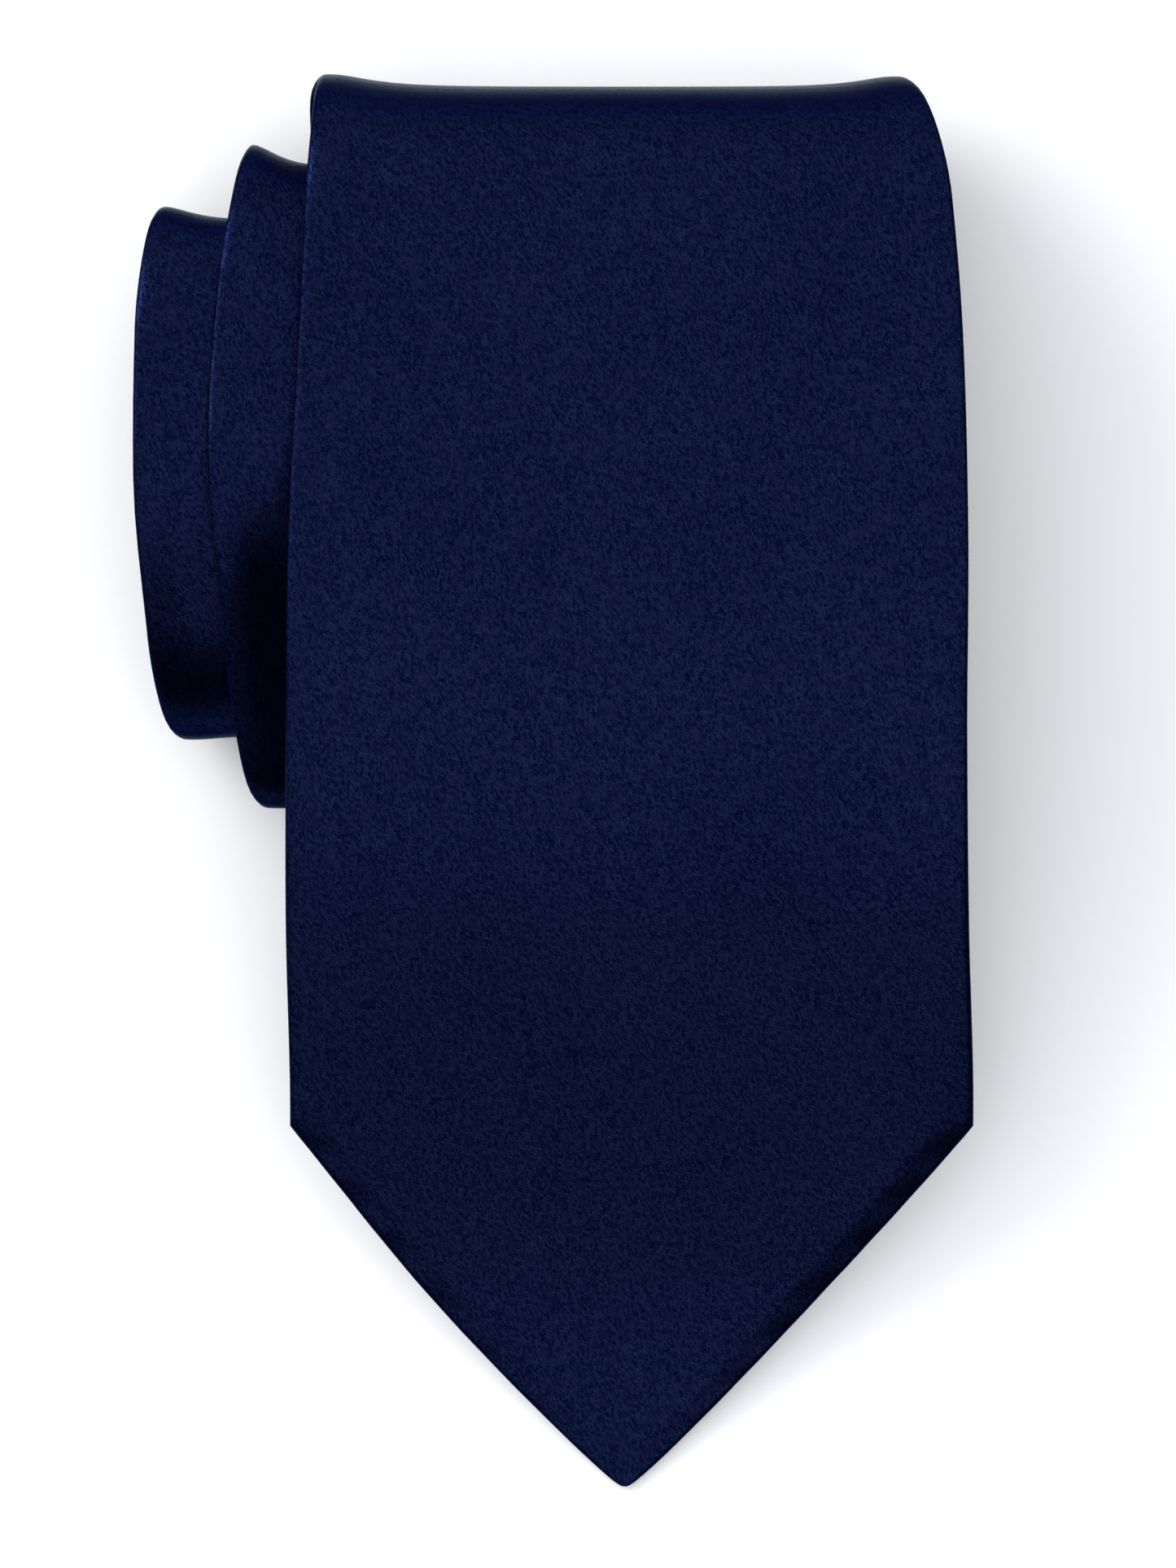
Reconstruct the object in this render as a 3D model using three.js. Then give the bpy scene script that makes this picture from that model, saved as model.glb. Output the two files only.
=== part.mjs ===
// A rolled necktie, in millimetres. The wide front blade lies over a flattened roll: a loose outer turn
// and a wound core that is stepped out to the left. +X runs across the blade, +Y from the blade's tip
// towards the far fold of the roll, and +Z up from the surface that the roll lies on.
//
// Every piece is placed by three distances: s along the tie from the blade's tip, u across it from its
// middle, and w through it, where w is positive on the good side of the cloth.
import * as THREE from "three";

// The tie as it was cut and sewn.
const tieLength = 1480;
const bladeWidth = 85;
const bladePoint = 48; // from the blade's tip to its shoulders
const bladeTaperStart = 120;
const neckWidth = 33;
const neckStart = 820;
const neckEnd = 1030;
const tailWidth = 45;
const tailPoint = 24;
const bluntTip = 1.6; // half of the width that a sewn point ends in

// Cloth thicknesses.
const shellWall = 0.22;
const interliningThickness = 0.6;
const clothGap = 0.1; // between two cloths that lie on each other
const tippingThickness = 0.14;
const labelThickness = 0.25;
const threadThickness = 0.18;

// Where the tie's pieces end, measured from the blade's tip.
const neckSeam = 650;
const tailSeam = 1060;
const seamGap = 0.7; // room for the thread between two joined shells
const tackFromTip = 112; // the bar tack that closes the back of the blade
const tailTackFromTip = 58; // the same on the tail, from the tail's own tip
const hemWidth = 9; // cloth turned in behind the blade's point
const slitWidth = 1.2; // between the two back flaps, where the slip stitch runs
const edgeClearance = 0.3; // beside the tipping, and at the cuts between moving bodies
const hemInset = 3; // the interlining stops this far inside a sewn point

// The lie of the roll. Places along Y are measured from the near end of the outer turn.
const tipReach = 85.5; // how far the blade's tip lies past the near end
const outerLength = 89;
const secondFarStep = 10; // from the outer turn's far fold back to the second turn's
const secondNearStep = 8.6;
const coreFarStep = 6.5; // from the second turn's far fold back to the core's
const coreNearStep = 2.2;
const outerFoldDepth = 14; // how far along Y the outer turn's far fold curves
const nearFoldDepth = 13;
const secondFoldDepth = 12.5;
const layerGap = 0.16; // between wound layers
const bladeRoom = 2.3; // under the blade, for its label and keeper
const secondRoom = 0.3;
const coreEye = 1.3; // radius of the innermost fold
const foldSteps = 8;
const rampSteps = 6;
const rampStart = 12; // where the blade leaves the roll on its way down to the tip

// How far the tie has drifted to the left, at each half turn after the blade's far fold.
const drift = [
  [-1, 0],
  [0, -1.5],
  [1, -11.4],
  [1.5, -18],
  [2, -17.2],
  [3, -28.6],
  [3.5, -35.8],
  [4, -34.4],
];

// Sewn-on pieces.
const tackWidth = 9;
const tackLength = 1.4;
const labelWidth = 46;
const labelLength = 15;
const labelFromTack = 7.3;
const stitchWidth = 0.7;
const keeperWidth = 54; // across the blade
const keeperLength = 12; // along the blade
const keeperThickness = 0.5;
const keeperRise = 0.7; // clear room under the middle of the keeper
const keeperFoot = 5; // sewn down at each end
const keeperFromLabel = 8;
const careWidth = 16;
const careLength = 22;
const careFromTack = 8; // its sewn edge
const slipWidth = 0.5;
const spareLoopLength = 9;
const spareLoopWidth = 3;

const thickness = 2 * (shellWall + clothGap) + interliningThickness;
const half = thickness / 2;
const pitch = thickness + layerGap;
const backFace = -half - clothGap; // where a piece sewn on the back starts
const secondFarFold = outerLength - secondFarStep;
const coreFarFold = secondFarFold - coreFarStep;
const coreNearFold = secondNearStep + coreNearStep;
const labelStart = tackFromTip + tackLength / 2 + labelFromTack;
const labelEnd = labelStart + labelLength;
const keeperStart = labelEnd + keeperFromLabel;
const keeperEnd = keeperStart + keeperLength;
const tailTack = tieLength - tailTackFromTip;
const careStart = tailTack + tackLength / 2 + careFromTack;

// ---------------------------------------------------------------- the line that the tie follows

// Half an ellipse from one level to the next: side is 1 at the far end of the roll and -1 at the near end.
function fold(side, end, depth, from, to, turn) {
  const points = [];
  for (let i = 0; i <= foldSteps; i++) {
    const angle = (Math.PI * i) / foldSteps;
    points.push({
      y: end - side * depth * (1 - Math.sin(angle)),
      z: (from + to) / 2 + ((from - to) / 2) * Math.cos(angle),
      turn: turn - 0.25 + (0.5 * i) / foldSteps,
    });
  }
  return points;
}

// The line with a core of that many half turns, blade tip first.
function lineWith(halfTurns) {
  const coreRadius = coreEye + (halfTurns * pitch) / 2;
  const bottom = [half, half + pitch, half + 2 * pitch];
  const coreTop = bottom[2] + 2 * coreRadius;
  const secondTop = coreTop + pitch + secondRoom;
  const bladeTop = secondTop + pitch + bladeRoom;
  const points = [];
  for (let i = 0; i < rampSteps; i++) {
    const x = i / rampSteps;
    const eased = x * x * (3 - 2 * x);
    points.push({
      y: -tipReach + x * (tipReach + rampStart),
      z: half + (bladeTop - half) * (0.55 * x + 0.45 * eased),
      turn: -1,
    });
  }
  points.push({ y: rampStart, z: bladeTop, turn: -1 });
  points.push(...fold(1, outerLength, outerFoldDepth, bladeTop, bottom[0], 0));
  points.push(...fold(-1, 0, nearFoldDepth, bottom[0], secondTop, 1));
  points.push(...fold(1, secondFarFold, secondFoldDepth, secondTop, bottom[1], 2));
  points.push(...fold(-1, secondNearStep, coreRadius, bottom[1], coreTop, 3));
  const farCentre = coreFarFold - coreRadius;
  const nearCentre = coreNearFold + coreRadius - pitch / 2;
  let level = coreTop;
  for (let k = 0; k <= halfTurns; k++) {
    const radius = coreRadius - (k * pitch) / 2;
    const side = k % 2 ? -1 : 1;
    const centre = side > 0 ? farCentre : nearCentre;
    const next = level - side * 2 * radius;
    points.push(...fold(side, centre + side * radius, radius, level, next, 4 + k));
    level = next;
  }
  return points;
}

// Adds to each point its distance s along the line, its normal mitred between the two neighbouring
// stretches, and its drift in x.
function measured(points) {
  const stretch = (a, b) => {
    const long = Math.hypot(b.y - a.y, b.z - a.z);
    return { y: (b.y - a.y) / long, z: (b.z - a.z) / long, long };
  };
  let s = 0;
  points.forEach((p, i) => {
    const after = stretch(points[Math.min(i, points.length - 2)], points[Math.min(i + 1, points.length - 1)]);
    const before = i ? stretch(points[i - 1], p) : after;
    s += i ? before.long : 0;
    const ny = -(before.z + after.z) / 2;
    const nz = (before.y + after.y) / 2;
    const square = ny * ny + nz * nz;
    Object.assign(p, { s, ny: ny / square, nz: nz / square, x: along(drift, p.turn) });
  });
  return points;
}

// A value read off a table of [place, value] pairs, straight between them.
function along(table, place) {
  const i = table.findIndex(([at]) => at >= place);
  if (i <= 0) return table[i < 0 ? table.length - 1 : 0][1];
  const [[a, from], [b, to]] = [table[i - 1], table[i]];
  return from + ((to - from) * (place - a)) / (b - a);
}

function woundLine() {
  let halfTurns = 2;
  let line = measured(lineWith(halfTurns));
  while (line[line.length - 1].s < tieLength) line = measured(lineWith(++halfTurns));
  return line;
}

const line = woundLine();

// The point of the row frame at s, u and w.
function place(s, u, w) {
  let i = line.findIndex((p) => p.s >= s);
  if (i < 1) i = i < 0 ? line.length - 1 : 1;
  const [a, b] = [line[i - 1], line[i]];
  const t = (s - a.s) / (b.s - a.s);
  const mix = (key) => a[key] + (b[key] - a[key]) * t;
  return new THREE.Vector3(mix("x") + u, mix("y") + w * mix("ny"), mix("z") + w * mix("nz"));
}

// Stations between two places: the line's own, and the bends of the outline.
function stations(from, to, bends = []) {
  const tooNear = 0.02;
  const inside = [...line.map((p) => p.s), ...bends].filter((s) => s > from && s < to - tooNear);
  const places = [from];
  for (const s of inside.sort((a, b) => a - b)) {
    if (s - places[places.length - 1] > tooNear) places.push(s);
  }
  return [...places, to];
}

const farFoldMiddle = line.find((p) => p.turn === 0).s;
const coreCut = (line.find((p) => p.turn === 2.25).s + line.find((p) => p.turn === 2.75).s) / 2;

// ---------------------------------------------------------------- outlines

const bladeSlope = (bladeWidth / 2 - bluntTip) / bladePoint;
const tailSlope = (tailWidth / 2 - bluntTip) / tailPoint;
const widths = [
  [bladePoint, bladeWidth / 2],
  [bladeTaperStart, bladeWidth / 2],
  [neckStart, neckWidth / 2],
  [neckEnd, neckWidth / 2],
  [tieLength - tailPoint, tailWidth / 2],
];

function halfWidth(s) {
  if (s < bladePoint) return bluntTip + s * bladeSlope;
  if (s > tieLength - tailPoint) return bluntTip + (tieLength - s) * tailSlope;
  return along(widths, s);
}

// How far from the middle a back flap's free edge lies: the flaps part in a long V above each point.
function flapEdge(s) {
  const closed = slitWidth / 2;
  const open = (fromTip, point, tack, slope) => {
    if (fromTip >= tack) return closed;
    const hem = hemWidth * Math.hypot(1, slope);
    if (fromTip < point) return bluntTip + fromTip * slope - hem;
    const atShoulder = bluntTip + point * slope - hem;
    return closed + ((atShoulder - closed) * (tack - fromTip)) / (tack - point);
  };
  const blade = open(s, bladePoint, tackFromTip, bladeSlope);
  const tail = open(tieLength - s, tailPoint, tailTackFromTip, tailSlope);
  return Math.max(closed, s < tieLength / 2 ? blade : tail);
}

// Where a V opening is first as wide as its tipping needs, measured from that point's tip.
const hemEnd = (slope) => (hemWidth * Math.hypot(1, slope) - bluntTip + slitWidth / 2) / slope;
const bladeHemEnd = hemEnd(bladeSlope);
const tailHemEnd = hemEnd(tailSlope);
const outlineBends = [
  bladeHemEnd,
  bladePoint,
  bladeTaperStart,
  tackFromTip,
  neckStart,
  neckEnd,
  tailTack,
  tieLength - tailPoint,
  tieLength - tailHemEnd,
];

// ---------------------------------------------------------------- solids

function meshFrom(vertices, faces) {
  const geometry = new THREE.BufferGeometry().setFromPoints(vertices);
  geometry.setIndex(faces.flat());
  geometry.computeVertexNormals();
  return geometry;
}

// A solid through rings of points: each ring is two matching rows, the outer one and the inner one.
function loft(rings) {
  const count = rings[0].length;
  const row = count / 2;
  const faces = [];
  const quad = (a, b, c, d) => faces.push([a, b, c], [a, c, d]);
  for (let i = 0; i + 1 < rings.length; i++) {
    for (let k = 0; k < count; k++) {
      const next = (k + 1) % count;
      quad(i * count + k, (i + 1) * count + k, (i + 1) * count + next, i * count + next);
    }
  }
  const last = (rings.length - 1) * count;
  for (let k = 0; k + 1 < row; k++) {
    const [a, b, c, d] = [k, k + 1, count - 2 - k, count - 1 - k];
    quad(a, b, c, d);
    quad(last + a, last + d, last + c, last + b);
  }
  return meshFrom(rings.flat(), faces);
}

// The envelope of good cloth: one face, two turned edges and two back flaps with a slit between them.
function shell(from, to) {
  const rings = stations(from, to, outlineBends).map((s) => {
    const edge = halfWidth(s);
    const flat = edge - half;
    const slit = Math.min(flapEdge(s), flat - shellWall);
    const row = (w, wall) => [
      [slit, -w],
      [flat, -w],
      [edge - wall, 0],
      [flat, w],
      [-flat, w],
      [wall - edge, 0],
      [-flat, -w],
      [-slit, -w],
    ];
    const section = [...row(half, 0), ...row(half - shellWall, shellWall * Math.SQRT2).reverse()];
    return section.map(([u, w]) => place(s, u, w));
  });
  return loft(rings);
}

// A flat piece between two faces, whose edges at s are the two values of edges(s).
function strip(from, to, low, high, edges) {
  const rings = stations(from, to, outlineBends).map((s) => {
    const [left, right] = edges(s);
    const lows = [place(s, right, low), place(s, left, low)];
    const highs = [place(s, left, high), place(s, right, high)];
    return [...highs.reverse(), ...lows.reverse()];
  });
  return loft(rings);
}

// A rectangle of cloth or thread, centred on the tie or moved across it by offset.
function patch(from, to, low, high, width, offset = 0) {
  return strip(from, to, low, high, () => [offset - width / 2, offset + width / 2]);
}

// The bed of wool that gives the tie its body.
function interlining(from, to) {
  const inset = half + clothGap;
  return strip(from, to, -interliningThickness / 2, interliningThickness / 2, (s) => {
    const edge = halfWidth(s) - inset;
    return [-edge, edge];
  });
}

// The lining that shows between the parted flaps.
function tipping(from, to) {
  const inside = -interliningThickness / 2 - clothGap;
  return strip(from, to, inside - tippingThickness, inside, (s) => {
    const edge = flapEdge(s) - edgeClearance;
    return [-edge, edge];
  });
}

// A strip across the back of the blade, sewn down at both ends and standing a little off it between them.
function keeperLoop() {
  const foot = keeperWidth / 2 - keeperFoot;
  const rise = keeperFoot * 0.6;
  const profile = [
    [-keeperWidth / 2, 0],
    [-foot, 0],
    [-foot + rise, keeperRise],
    [foot - rise, keeperRise],
    [foot, 0],
    [keeperWidth / 2, 0],
  ];
  const near = backFace;
  const rings = stations(keeperStart, keeperEnd).map((s) => {
    const top = profile.map(([u, up]) => place(s, u, near - up));
    const under = profile.map(([u, up]) => place(s, u, near - up - keeperThickness));
    return [...under, ...top.reverse()];
  });
  return loft(rings);
}

// The slip stitch's spare thread: a small flat loop beyond the tail's tack.
function spareLoop() {
  const points = [];
  const start = tailTack - tackLength;
  const turns = 12;
  for (let i = 0; i <= turns; i++) {
    const angle = (2 * Math.PI * i) / turns;
    const s = start - (spareLoopLength * (1 - Math.cos(angle))) / 2;
    points.push([s, (spareLoopWidth / 2) * Math.sin(angle)]);
  }
  const gap = threadThickness;
  const ring = points.slice(0, turns).map(([s, u], i) => {
    const [sIn, uIn] = [start - spareLoopLength / 2 + (s - start + spareLoopLength / 2) * 0.8, u * 0.7];
    const [low, high] = [backFace - gap, backFace];
    return [place(s, u, high), place(s, u, low), place(sIn, uIn, low), place(sIn, uIn, high)];
  });
  const faces = [];
  ring.forEach((_, i) => {
    const [a, b] = [4 * i, 4 * ((i + 1) % turns)];
    for (let k = 0; k < 4; k++) {
      const next = (k + 1) % 4;
      faces.push([a + k, b + next, a + next], [a + k, b + k, b + next]);
    }
  });
  return meshFrom(ring.flat(), faces);
}

// ---------------------------------------------------------------- materials

const finish = (color, roughness) => new THREE.MeshStandardMaterial({ color, roughness, metalness: 0 });
const satin = finish(0x0b1433, 0.42);
const lining = finish(0x0a1026, 0.5);
const wool = finish(0xd9d4c8, 0.95);
const thread = finish(0x0c1638, 0.6);
const labelCloth = finish(0x10182e, 0.55);
const careCloth = finish(0xe9e7e1, 0.6);

// ---------------------------------------------------------------- the assembly

const tie = new THREE.Group();

function add(name, geometry, material) {
  const mesh = new THREE.Mesh(geometry, material);
  mesh.name = name;
  tie.add(mesh);
}

const cut = edgeClearance / 2;
const bladeEnd = farFoldMiddle - cut;
const wrapStart = farFoldMiddle + cut;
const wrapEnd = coreCut - cut;
const coreStart = coreCut + cut;
const slitLow = -half;
const slitHigh = -half + threadThickness;

// The front blade, which unrolls about the far fold.
add("blade_shell", shell(0, bladeEnd), satin);
add("interlining_blade", interlining(hemInset, bladeEnd), wool);
add("blade_tipping", tipping(bladeHemEnd + 1, tackFromTip - 1), lining);
add("slip_stitch_blade", patch(tackFromTip + tackLength, bladeEnd, slitLow, slitHigh, slipWidth), thread);
add(
  "blade_bar_tack",
  patch(tackFromTip - tackLength / 2, tackFromTip + tackLength / 2, backFace - threadThickness, backFace, tackWidth),
  thread,
);
add(
  "back_label",
  patch(labelStart, labelEnd, backFace - labelThickness, backFace, labelWidth),
  labelCloth,
);
for (const [name, side] of [
  ["left", -1],
  ["right", 1],
]) {
  const labelEdge = side * (labelWidth / 2 + edgeClearance + stitchWidth / 2);
  const keeperEdge = side * (keeperWidth / 2 + edgeClearance + stitchWidth / 2);
  const [low, high] = [backFace - threadThickness, backFace];
  add(
    "label_stitch_" + name,
    patch(labelStart, labelEnd, low, high, stitchWidth, labelEdge),
    thread,
  );
  add(
    "keeper_stitch_" + name,
    patch(keeperStart, keeperEnd, low, high, stitchWidth, keeperEdge),
    thread,
  );
}
add("keeper_loop", keeperLoop(), satin);

// The loose outer turn, which lies on the surface.
add("blade_shell_wrap", shell(wrapStart, wrapEnd), satin);
add("interlining_wrap", interlining(wrapStart, wrapEnd), wool);
add("slip_stitch_wrap", patch(wrapStart, wrapEnd, slitLow, slitHigh, slipWidth), thread);

// The wound core: the end of the blade's cloth, the neck and the tail.
add("blade_shell_core", shell(coreStart, neckSeam - seamGap / 2), satin);
add("neck_shell", shell(neckSeam + seamGap / 2, tailSeam - seamGap / 2), satin);
add("tail_shell", shell(tailSeam + seamGap / 2, tieLength), satin);
add("interlining_core", interlining(coreStart, tieLength - hemInset), wool);
add("slip_stitch_core", patch(coreStart, tailTack - tackLength, slitLow, slitHigh, slipWidth), thread);
add("tail_tipping", tipping(tailTack + 1, tieLength - tailHemEnd - 1), lining);
for (const [name, s] of [
  ["neck_seam_thread", neckSeam],
  ["tail_seam_thread", tailSeam],
]) {
  const length = threadThickness / 2;
  add(name, patch(s - length, s + length, half - shellWall, half, 2 * (halfWidth(s) - thickness)), thread);
}
add(
  "tail_bar_tack",
  patch(tailTack - tackLength / 2, tailTack + tackLength / 2, backFace - threadThickness, backFace, tackWidth),
  thread,
);
add("slip_stitch_spare_loop", spareLoop(), thread);
add(
  "care_label",
  patch(careStart, careStart + careLength, backFace - labelThickness, backFace, careWidth),
  careCloth,
);
const careStitch = careStart - edgeClearance;
add(
  "care_label_stitch",
  patch(careStitch - stitchWidth, careStitch, backFace - threadThickness, backFace, careWidth),
  thread,
);

// The origin is under the middle of the whole tie, on the surface it lies on.
const box = new THREE.Box3().setFromObject(tie);
tie.position.set(-(box.min.x + box.max.x) / 2, -(box.min.y + box.max.y) / 2, -box.min.z);

export default tie;
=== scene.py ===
import math

import bpy
import numpy as np
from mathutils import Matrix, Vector


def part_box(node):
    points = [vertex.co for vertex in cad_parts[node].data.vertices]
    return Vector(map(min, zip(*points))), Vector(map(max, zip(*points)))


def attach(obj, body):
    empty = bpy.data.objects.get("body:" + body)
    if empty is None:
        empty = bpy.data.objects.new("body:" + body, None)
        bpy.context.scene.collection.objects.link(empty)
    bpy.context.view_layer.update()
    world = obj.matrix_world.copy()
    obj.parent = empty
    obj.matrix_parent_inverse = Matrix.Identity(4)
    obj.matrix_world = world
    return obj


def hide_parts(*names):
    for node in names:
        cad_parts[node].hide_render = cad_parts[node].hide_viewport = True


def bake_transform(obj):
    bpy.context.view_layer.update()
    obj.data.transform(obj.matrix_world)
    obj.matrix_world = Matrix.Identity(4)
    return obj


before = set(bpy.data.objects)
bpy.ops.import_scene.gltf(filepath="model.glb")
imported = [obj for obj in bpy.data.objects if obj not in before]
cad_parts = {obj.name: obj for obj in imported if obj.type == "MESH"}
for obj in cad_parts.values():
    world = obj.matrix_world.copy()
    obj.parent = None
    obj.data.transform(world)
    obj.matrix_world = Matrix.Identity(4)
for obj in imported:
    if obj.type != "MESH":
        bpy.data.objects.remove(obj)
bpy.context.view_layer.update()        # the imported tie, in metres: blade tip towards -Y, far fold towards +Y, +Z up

print("frame: loaded")


# The line that the tie follows, from the blade's tip into the middle of the roll. turn counts half turns
# after the far fold that the blade hangs from, so it is whole in the middle of each fold.
roll = {
    "tipReach": 0.0855,         # from the near end of the outer turn to the blade's tip
    "slopeTable": [(-0.0855, 0.19), (-0.060, 0.36), (-0.015, 0.37), (0.036, 0)],    # of the hanging blade
    "outerLength": 0.0879,
    "secondFarStep": 0.010,
    "secondNearStep": 0.0086,
    "coreFarStep": 0.0065,
    "coreNearStep": 0.0022,
    "outerFoldDepth": 0.014,
    "nearFoldDepth": 0.021,
    "secondFoldDepth": 0.0125,
    "thickness": 0.00124,
    "layerGap": 0.00016,
    "bladeRoom": 0.0023,        # under the blade, for its label and keeper
    "secondRoom": 0.0003,
    "coreEye": 0.0013,
    "tieLength": 1.48,
    "slopeSteps": 90,           # points along the hanging blade
    "foldSteps": 24,
    "runStep": 0.0022,
    "cornerRise": 0.0011,       # of the far fold's corners past its middle
    "drift": [(-1, 0), (-0.25, -0.0002), (0, -0.0012), (1, -0.0121), (1.5, -0.0182), (2, -0.0172),
              (3, -0.0287), (3.25, -0.0315), (3.5, -0.0337), (4, -0.0343), (5, -0.0344)],
    "bladeSway": [(0, -0.00070), (0.024, -0.00075), (0.048, 0.00015), (0.075, -0.0004), (0.1, -0.0005),
                  (0.125, -0.0003), (0.15, 0), (0.175, -0.0001), (0.2, -0.0004), (0.25, 0)],
}


# A smooth curve through a table of (place, value) pairs, level at its two ends.
def smoothTable(table, at):
    x, y = np.array(table, float).T
    slope = np.zeros(len(x))
    slope[1:-1] = (y[2:] - y[:-2]) / (x[2:] - x[:-2])
    at = np.clip(at, x[0], x[-1])
    i = np.clip(np.searchsorted(x, at, side="right") - 1, 0, len(x) - 2)
    span = x[i + 1] - x[i]
    t = (at - x[i]) / span
    return ((1 + 2 * t) * (1 - t) ** 2 * y[i] + t * (1 - t) ** 2 * span * slope[i]
            + t * t * (3 - 2 * t) * y[i + 1] + t * t * (t - 1) * span * slope[i + 1])


def ease(t):
    t = np.clip(t, 0, 1)
    return t * t * (3 - 2 * t)


# Half an ellipse between two levels: side is 1 at the far end and -1 at the near end.
def foldPoints(side, end, depth, fromLevel, toLevel, turn):
    angle = np.linspace(0, math.pi, roll["foldSteps"] + 1)
    y = end - side * depth * (1 - np.sin(angle))
    z = (fromLevel + toLevel) / 2 + (fromLevel - toLevel) / 2 * np.cos(angle)
    return np.column_stack([y, z, turn - 0.25 + 0.5 * angle / math.pi])


def linePoints(halfTurns):
    half = roll["thickness"] / 2
    pitch = roll["thickness"] + roll["layerGap"]
    radius = roll["coreEye"] + halfTurns * pitch / 2
    bottom = [half, half + pitch, half + 2 * pitch]
    coreTop = bottom[2] + 2 * radius
    secondTop = coreTop + pitch + roll["secondRoom"]
    bladeTop = secondTop + pitch + roll["bladeRoom"]
    farEnd = roll["outerLength"] - roll["secondFarStep"]
    y = np.linspace(-roll["tipReach"], roll["slopeTable"][-1][0], roll["slopeSteps"])
    slope = smoothTable(roll["slopeTable"], y)
    rise = np.concatenate([[0], np.cumsum((slope[1:] + slope[:-1]) / 2)])
    ramp = np.column_stack([y, half + (bladeTop - half) * rise / rise[-1], -1 + 0 * y])
    parts = [
        ramp,
        foldPoints(1, roll["outerLength"], roll["outerFoldDepth"], bladeTop, bottom[0], 0),
        foldPoints(-1, 0, roll["nearFoldDepth"], bottom[0], secondTop, 1),
        foldPoints(1, farEnd, roll["secondFoldDepth"], secondTop, bottom[1], 2),
        foldPoints(-1, roll["secondNearStep"], radius, bottom[1], coreTop, 3),
    ]
    farCentre = farEnd - roll["coreFarStep"] - radius
    nearCentre = roll["secondNearStep"] + roll["coreNearStep"] + radius - pitch / 2
    level = coreTop
    for k in range(halfTurns + 1):
        inner = radius - k * pitch / 2
        side = -1 if k % 2 else 1
        following = level - side * 2 * inner
        centre = farCentre if side > 0 else nearCentre
        parts.append(foldPoints(side, centre + side * inner, inner, level, following, 4 + k))
        level = following
    return np.vstack(parts)


# The line with its straight runs filled in, and its distance, normal and drift at each point.
def measuredLine(points):
    rows = [points[:1]]
    for a, b in zip(points[:-1], points[1:]):
        count = max(1, int(np.hypot(*(b - a)[:2]) / roll["runStep"]))
        rows.append(a + (b - a) * (np.arange(1, count + 1) / count)[:, None])
    y, z, turn = np.vstack(rows).T
    s = np.concatenate([[0], np.cumsum(np.hypot(np.diff(y), np.diff(z)))])
    dy, dz = np.gradient(y, s), np.gradient(z, s)
    size = np.hypot(dy, dz)
    return {"s": s, "y": y, "z": z, "turn": turn, "ny": -dz / size, "nz": dy / size}


def woundLine():
    halfTurns = 2
    line = measuredLine(linePoints(halfTurns))
    while line["s"][-1] < roll["tieLength"]:
        halfTurns += 1
        line = measuredLine(linePoints(halfTurns))
    blade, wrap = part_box("blade_shell"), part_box("blade_shell_wrap")
    line["y"] += wrap[1].y - roll["outerLength"] - roll["cornerRise"] - roll["thickness"] / 2
    line["x"] = blade[1].x - cloth["bladeWidth"] / 2 + smoothTable(roll["drift"], line["turn"])
    line["x"] += smoothTable(roll["bladeSway"], line["s"])
    return line


cloth = {
    "bladeWidth": 0.085,
    "bladePoint": 0.0475,       # from the tip to the shoulders, along the cloth
    "tipRound": 0.0012,         # how far the point stops short of a sharp one
    "pointBulge": 0.0018,       # how far the point's sides swell out
    "bulgeLean": 0.85,          # below 1, the swell is nearer the tip
    "halfWidths": [(0.0475, 0.0424), (0.075, 0.0423), (0.100, 0.0421), (0.125, 0.0420), (0.150, 0.0410),
                   (0.175, 0.0394), (0.200, 0.0384), (0.330, 0.0347), (0.515, 0.0279), (0.820, 0.0165),
                   (1.030, 0.0165), (1.456, 0.0225)],
    "tailPoint": 0.024,
    "wall": 0.00022,
    "clearance": 0.00004,       # between one layer and the next
    "pointTaper": 0.9,          # the most that half the thickness may be of half the width
    "leastHalf": 0.00005,       # half the thickness at the very tip
    "edgeRoll": 0.0011,         # how far in from an edge the cloth rolls over
    "edgeDrop": 0.00022,        # how much thinner the tie is along its edges
    "edgeDropReach": 0.0022,
    "cornerRound": 0.0008,      # how far the edges round in at the crest of each fold
    "cornerNarrow": 8,          # the higher, the closer to the crest
    "cornerSoft": 0.85,         # breadth of a corner's rise, in its reaches
    "pointDrop": (0.00030, 0.00046),    # the same along the point's left and right edges, turned harder
    "pointDropReach": 0.0033,
    "pointDropCurve": 1.15,
    "pointTurn": (0.002, 0.005),        # where the drop begins past the shoulders, and over what length
    "tipFade": 0.006,
    "pucker": 0.00013,          # the gathers that the hem's stitches pull in those edges
    "puckerLength": 0.0066,
    "puckerSlant": 90,
    "hem": 0.009,
    "tack": 0.112,
    "tailTack": 1.422,
    "lap": 0.0022,              # how far one back flap lies over the other
    "lapReach": 0.004,          # the opening at which the flaps part
    "tipStations": (0, 0.00006, 0.00022, 0.00048, 0.00085),
}
tuckDepth = cloth["wall"] + cloth["clearance"]
line = woundLine()


# How far along the tie a turn is, past the hanging blade.
def atTurn(turn):
    first = roll["slopeSteps"]
    return float(np.interp(turn, line["turn"][first:], line["s"][first:]))


def read(name, s):
    return np.interp(s, line["s"], line[name])


# The roll is slack, and its near end, which the blade bridges, sinks under its own weight.
slump = {
    "share": 0.44,              # of its height there
    "from": 0.046,
    "to": 0.0,
}


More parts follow.
